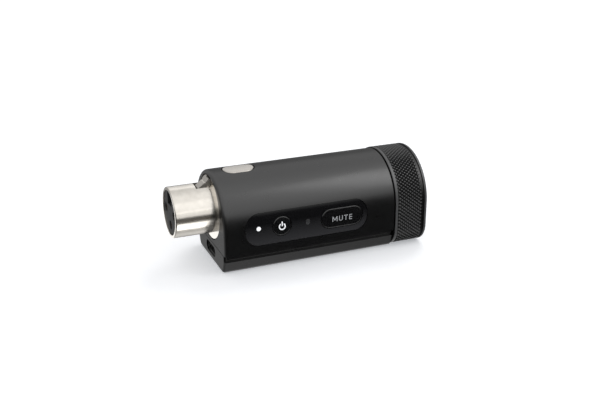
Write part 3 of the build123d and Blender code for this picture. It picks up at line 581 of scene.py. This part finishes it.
# %% [markdown]
# ## Button rims
#
# Each button has a thin raised lip round its face, which is what the finger finds in the dark. It
# catches the light as a fine line. The lip is a bead swept along the button's outline and wrapped
# onto the curve of the body: for a point at height z the body's skin is at
# y = -sqrt(r^2 - (z - arch_z)^2) above the arch's centre, and flat below it.

# %% Lay the button rims
shortest_run = 0.01 * mm


def skin_y(z, radius):
    """Distance to the -Y skin at height z."""
    return -sqrt(radius ** 2 - max(z - arch_z, 0) ** 2)


def stadium(centre_x, centre_z, length, height, steps=24):
    """Outline of a button: two half circles, joined by straight runs if it is longer than high."""
    half = height / 2
    run = (length - height) / 2
    last = steps + 1 if run > shortest_run else steps
    points = []
    for side in (1, -1):
        for k in range(last):
            turn = pi / 2 - pi * k / steps
            points.append((centre_x + side * (run + half * cos(turn)), centre_z + side * half * sin(turn)))
    return points


def wire_loop(form, centre, wire_r, out, across, sides):
    """Points round one section of a wire, in the plane of two directions."""
    turns = [2 * pi * k / sides for k in range(sides)]
    return [form.verts.new(centre + wire_r * (cos(turn) * out + sin(turn) * across)) for turn in turns]


def join_loops(form, before, after, sides):
    """Skin the wire from one section to the next."""
    for k in range(sides):
        form.faces.new((before[k - 1], before[k], after[k], after[k - 1]))


def bead(name, outline, radius, bead_r, sides=8):
    """A closed tube along an outline laid on the body's curved side."""
    form = bmesh.new()
    path = [Vector((x, skin_y(z, radius), z)) for x, z in outline]
    count = len(path)
    loops = []
    for i, point in enumerate(path):
        along = (path[(i + 1) % count] - path[i - 1]).normalized()
        z_up = max(point.z - arch_z, 0)
        out = Vector((0, point.y, z_up)).normalized()
        across = along.cross(out).normalized()
        loops.append(wire_loop(form, point, bead_r, out, across, sides))
    for i in range(count):
        join_loops(form, loops[i - 1], loops[i], sides)
    piece = piece_from(form, name)
    piece.data.shade_smooth()
    piece.data.materials.append(finishes["button_gloss"])
    return piece


rim_bead = 0.11 * mm
rim_inset = 0.22 * mm
flange_extra = 0.7 * mm
mute_drop = 0.2 * mm
button_face_r = arch_r - 0.05 * mm
for node, body, drop in (("power_button", "power_key", 0), ("mute_button", "mute_key", mute_drop)):
    low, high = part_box(node)
    face_height = high.z - low.z - flange_extra - 2 * rim_inset
    face_length = high.x - low.x - flange_extra - 2 * rim_inset if drop else face_height
    outline = stadium((low.x + high.x) / 2, arch_z - drop, face_length, face_height)
    rim = bead(body + "_rim", outline, button_face_r, rim_bead)
    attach(rim, body)
    print(rim.name, "round", round(face_length / mm, 2), "by", round(face_height / mm, 2), "mm")

# %% [markdown]
# ## The latch spring
#
# The lever's spring is a coil that has to get shorter when the button is pressed. It is a tube swept
# up a helix.

# %% Wind the latch spring
def wind(name, low, high, wire_r, turns, steps_round=20, sides=8):
    """An upright coil that fills a box, with closed ends."""
    form = bmesh.new()
    middle = (low + high) / 2
    coil_r = (high.x - low.x) / 2 - wire_r
    rise = high.z - low.z - 2 * wire_r
    count = turns * steps_round
    up = Vector((0, 0, 1))
    loops = []
    for i in range(count + 1):
        turn = 2 * pi * i / steps_round
        out = Vector((cos(turn), sin(turn), 0))
        spot = Vector((middle.x, middle.y, low.z + wire_r + rise * i / count)) + coil_r * out
        loops.append(wire_loop(form, spot, wire_r, out, up, sides))
    for i in range(1, count + 1):
        join_loops(form, loops[i - 1], loops[i], sides)
    form.faces.new(loops[0])
    form.faces.new(loops[-1])
    piece = piece_from(form, name)
    piece.data.shade_smooth()
    return piece


spring_wire_r = 0.15 * mm
spring_turns = 3
spring_low, spring_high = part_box("latch_spring")
coil = wind("latch_coil", spring_low, spring_high, spring_wire_r, spring_turns)
coil.data.materials.append(finishes["steel"])
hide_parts("latch_spring")
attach(coil, "main_body")
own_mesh(coil)
print("spring", round((spring_high.z - spring_low.z) / mm, 2), "mm high")

# %% [markdown]
# ## Table colour
#
# The table is a sheet of white acrylic with a weak light under it, which keeps the far part of it as
# white as the near part. A very faint mottling stops it from looking like a flat fill where the
# shadow falls.

# %% Finish the table
sheet = finish(
    "white_sheet", (0.82, 0.82, 0.83), (0.85, 0.85, 0.86), (0.7, 0.8),
    grain=1500, depth=0.01, patch=40)
glow(sheet, 0.36)
table.data.materials.append(sheet)
print("the table is", sheet.name)

# %% [markdown]
# ## The studio round the object
#
# Dark shiny things show their surroundings more than they show light. Here the surroundings are a
# pale ceiling and a dark lower wall in front, which give black metal its deep side and a wide soft
# band above it with a clear edge between them. Behind the object the wall is bright on the left, for
# the front faces, and dim on the right, so that the top edge stays dark. The world is a gradient by
# direction: x runs along the object, y away from the camera and z up. Matt things see an even dome,
# and the camera sees plain white.

# %% Build the surroundings
world = bpy.data.worlds.new("studio")
bpy.context.scene.world = world
world.use_nodes = True
sky = world.node_tree
sky.nodes.clear()
direction = sky.nodes.new("ShaderNodeTexCoord")
parts = sky.nodes.new("ShaderNodeSeparateXYZ")
sky.links.new(direction.outputs["Generated"], parts.inputs["Vector"])


def sky_ramp(value, stops):
    """A grey ramp over one direction component, which runs from -1 to 1."""
    span = sky.nodes.new("ShaderNodeMapRange")
    span.inputs["From Min"].default_value = -1
    span.inputs["From Max"].default_value = 1
    sky.links.new(value, span.inputs["Value"])
    ramp = sky.nodes.new("ShaderNodeValToRGB")
    bar = ramp.color_ramp
    bar.interpolation = "EASE"
    while len(bar.elements) < len(stops):
        bar.elements.new(0.5)
    for element, (at, grey) in zip(bar.elements, stops):
        element.position = (at + 1) / 2
        element.color = (grey, grey, grey, 1)
    sky.links.new(span.outputs["Result"], ramp.inputs["Fac"])
    return ramp.outputs["Color"]


def sky_mix(factor, first, second):
    """One grey over another by a factor from 0 to 1."""
    mix = sky.nodes.new("ShaderNodeMix")
    mix.data_type = "RGBA"
    sky.links.new(factor, mix.inputs["Factor"])
    sky.links.new(first, mix.inputs["A"])
    sky.links.new(second, mix.inputs["B"])
    return mix.outputs["Result"]


front_wall = sky_ramp(parts.outputs["Z"], [
    (-1, 0.6), (-0.85, 0.25), (-0.66, 0.06), (-0.5, 0.02), (0.1, 0.02), (0.34, 1.0), (1, 1.15)])
back_left = sky_ramp(parts.outputs["Z"], [(-1, 0.5), (-0.5, 0.38), (-0.1, 0.38), (0.3, 0.6), (1, 1.0)])
back_right = sky_ramp(parts.outputs["Z"], [
    (-1, 0.9), (-0.6, 0.25), (0.0, 0.2), (0.3, 0.22), (0.66, 0.7), (1, 0.95)])
leftward = sky_ramp(parts.outputs["X"], [(-1, 1), (-0.3, 1), (0.15, 0), (1, 0)])
backward = sky_ramp(parts.outputs["Y"], [(-1, 0), (-0.15, 0), (0.3, 1), (1, 1)])
walls = sky_mix(backward, front_wall, sky_mix(leftward, back_right, back_left))


def backdrop(colour, strength=1.0):
    """A background of one colour, or of a gradient."""
    shade = sky.nodes.new("ShaderNodeBackground")
    shade.inputs["Strength"].default_value = strength
    if colour:
        sky.links.new(colour, shade.inputs["Color"])
    else:
        shade.inputs["Color"].default_value = (1, 1, 1, 1)
    return shade.outputs["Background"]


def choose(factor, first, second):
    """One background or the other by the kind of ray."""
    mix = sky.nodes.new("ShaderNodeMixShader")
    sky.links.new(factor, mix.inputs["Fac"])
    sky.links.new(first, mix.inputs[1])
    sky.links.new(second, mix.inputs[2])
    return mix.outputs["Shader"]


ray = sky.nodes.new("ShaderNodeLightPath")
output = sky.nodes.new("ShaderNodeOutputWorld")
lit = choose(ray.outputs["Is Diffuse Ray"], backdrop(walls), backdrop(None, 0.72))
sky.links.new(choose(ray.outputs["Is Camera Ray"], lit, backdrop(None)), output.inputs["Surface"])
print("the surroundings take", len(sky.nodes), "shader nodes")

# %% [markdown]
# ## Lamps
#
# A key lamp from behind on the right throws the soft shadow forward and to the left. A small strip
# light close to the back end of the body makes the band there brighter than at the front. The cards
# round the barrel are lit for the bright metal only. In a studio such cards stand just out of view,
# because nickel looks black wherever it has nothing bright to show. Blender's light linking does the
# same without the cards getting in the way of anything else.

# %% Hang the lamps
def object_group(name, members):
    """A collection of objects for a lamp to light, or to be blocked by."""
    group = bpy.data.collections.new(name)
    for member in members:
        group.objects.link(member)
    return group


def softbox(name, at, aimed_at, width, height, radiance, only=(), colour=(1, 1, 1)):
    """A rectangular area light of a given brightness. With names in only, it lights just those."""
    data = bpy.data.lights.new(name, "AREA")
    data.shape = "RECTANGLE"
    data.size = width
    data.size_y = height
    data.energy = radiance * pi * width * height
    data.color = colour
    lamp = bpy.data.objects.new(name, data)
    lamp.location = at
    lamp.rotation_euler = (Vector(aimed_at) - Vector(at)).to_track_quat("-Z", "Y").to_euler()
    lamp.visible_camera = False
    bpy.context.scene.collection.objects.link(lamp)
    if only:
        lamp.light_linking.receiver_collection = object_group(name + "_lights", [nodes[n] for n in only])
        lamp.light_linking.blocker_collection = object_group(name + "_stopped_by", [nodes["housing"]])
    return lamp


centre = Vector((0, 0, arch_z))
key = softbox("key_box", (0.3, 0.32, 0.55), centre, 0.3, 0.3, 4.2)
key.visible_glossy = False
softbox("strip_box", (0.105, -0.09, 0.15), (back_x, 0, arch_z), 0.07, 0.12, 1.5)

bright = ("xlr_shell", "latch_lever", "release_button")
card_reach = 0.25
card_width = 0.3
glance_x = sin(camera_turn) * cos(camera_rise)


def barrel_card(name, low, high, radiance, behind=False, colour=(1, 1, 1)):
    """A card for the bright metal that fills the wall between two heights of its mirror view."""
    middle = (low + high) / 2
    depth = sqrt(1 - glance_x ** 2 - middle ** 2)
    barrel_centre = Vector((front_x, 0, barrel_z))
    toward = Vector((glance_x, depth if behind else -depth, middle))
    height = card_reach * (high - low) / sqrt(1 - middle ** 2)
    at = barrel_centre + toward * card_reach
    softbox(name, at, barrel_centre, card_width, height, radiance, bright, colour)


barrel_card("barrel_side", -0.17, 0.3, 1.1)
barrel_card("barrel_shade", -0.6, -0.3, 0.05, colour=(1, 0.84, 0.66))
barrel_card("barrel_low", -0.95, -0.66, 2.2)
barrel_card("barrel_upper", 0.35, 0.85, 0.3)
barrel_card("barrel_back", 0.1, 0.8, 0.6, behind=True)
flange_rise = 1.2 * mm
flange_card_reach = 0.04
flange_card_side = 0.03
flange_foot = Vector((front_x, 0, barrel_low.z + flange_rise))
flange_view = Vector((-glance_x, cos(camera_turn) * cos(camera_rise), -sin(camera_rise)))
flange_card_at = flange_foot + flange_view * flange_card_reach
softbox("flange_card", flange_card_at, flange_foot, flange_card_side, flange_card_side, 1.0, bright)
print(len(bpy.data.lights), "lamps")

# %% [markdown]
# ## Colour
#
# The standard view keeps white paper white and leaves the black as deep as it is lit.

# %% Colour view
bpy.context.scene.view_settings.view_transform = "Standard"
bpy.context.scene.view_settings.look = "None"
print("view:", bpy.context.scene.view_settings.view_transform)
